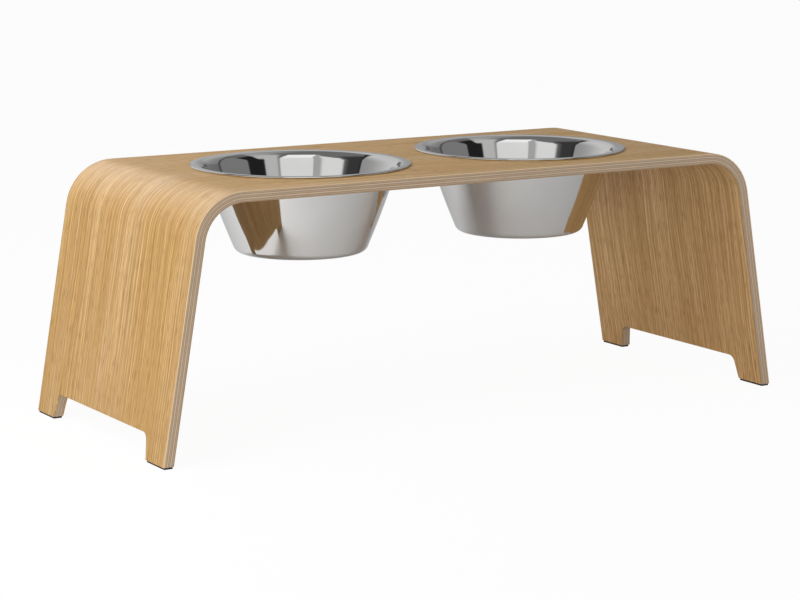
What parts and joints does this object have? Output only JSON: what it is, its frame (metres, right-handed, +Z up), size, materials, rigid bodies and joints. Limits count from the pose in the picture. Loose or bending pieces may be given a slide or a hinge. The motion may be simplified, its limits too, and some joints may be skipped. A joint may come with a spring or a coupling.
{
  "type": "dog feeding station",
  "caption": "Raised dog feeder: a bent plywood stand with splayed, notched legs holds tapered steel bowls by their flanges in round holes in its top, and each bowl lifts out.",
  "frame": {"origin": "on the floor, under the middle of the stand", "axes": "+X along the stand to the right as seen from the front, -Y towards the front, +Z up"},
  "size_m": [0.5658, 0.227, 0.2016],
  "materials": {
    "oak_face_veneer": "clear matt lacquer over oak veneer",
    "core_ply_across": "sealed ply edge, grain across",
    "core_ply_along": "sealed ply edge, grain along",
    "polished_steel": "polished stainless steel",
    "foot_pad": "matt"
  },
  "bodies": {
    "stand": {"outer_face_veneer": "oak_face_veneer", "core_ply_1": "core_ply_across", "core_ply_2": "core_ply_along", "core_ply_3": "core_ply_across", "core_ply_4": "core_ply_along", "core_ply_5": "core_ply_across", "inner_face_veneer": "oak_face_veneer", "foot_pad_front_left": "foot_pad", "foot_pad_back_left": "foot_pad", "foot_pad_front_right": "foot_pad", "foot_pad_back_right": "foot_pad"},
    "left_bowl": {"bowl_left": "polished_steel"},
    "right_bowl": {"bowl_right": "polished_steel"}
  },
  "joints": [
    {"name": "left_bowl_lift", "type": "slide", "parent": "stand", "child": "left_bowl", "axis": [0, 0, 1], "range_m": [0, 0.11]},
    {"name": "right_bowl_lift", "type": "slide", "parent": "stand", "child": "right_bowl", "axis": [0, 0, 1], "range_m": [0, 0.11]}
  ]
}
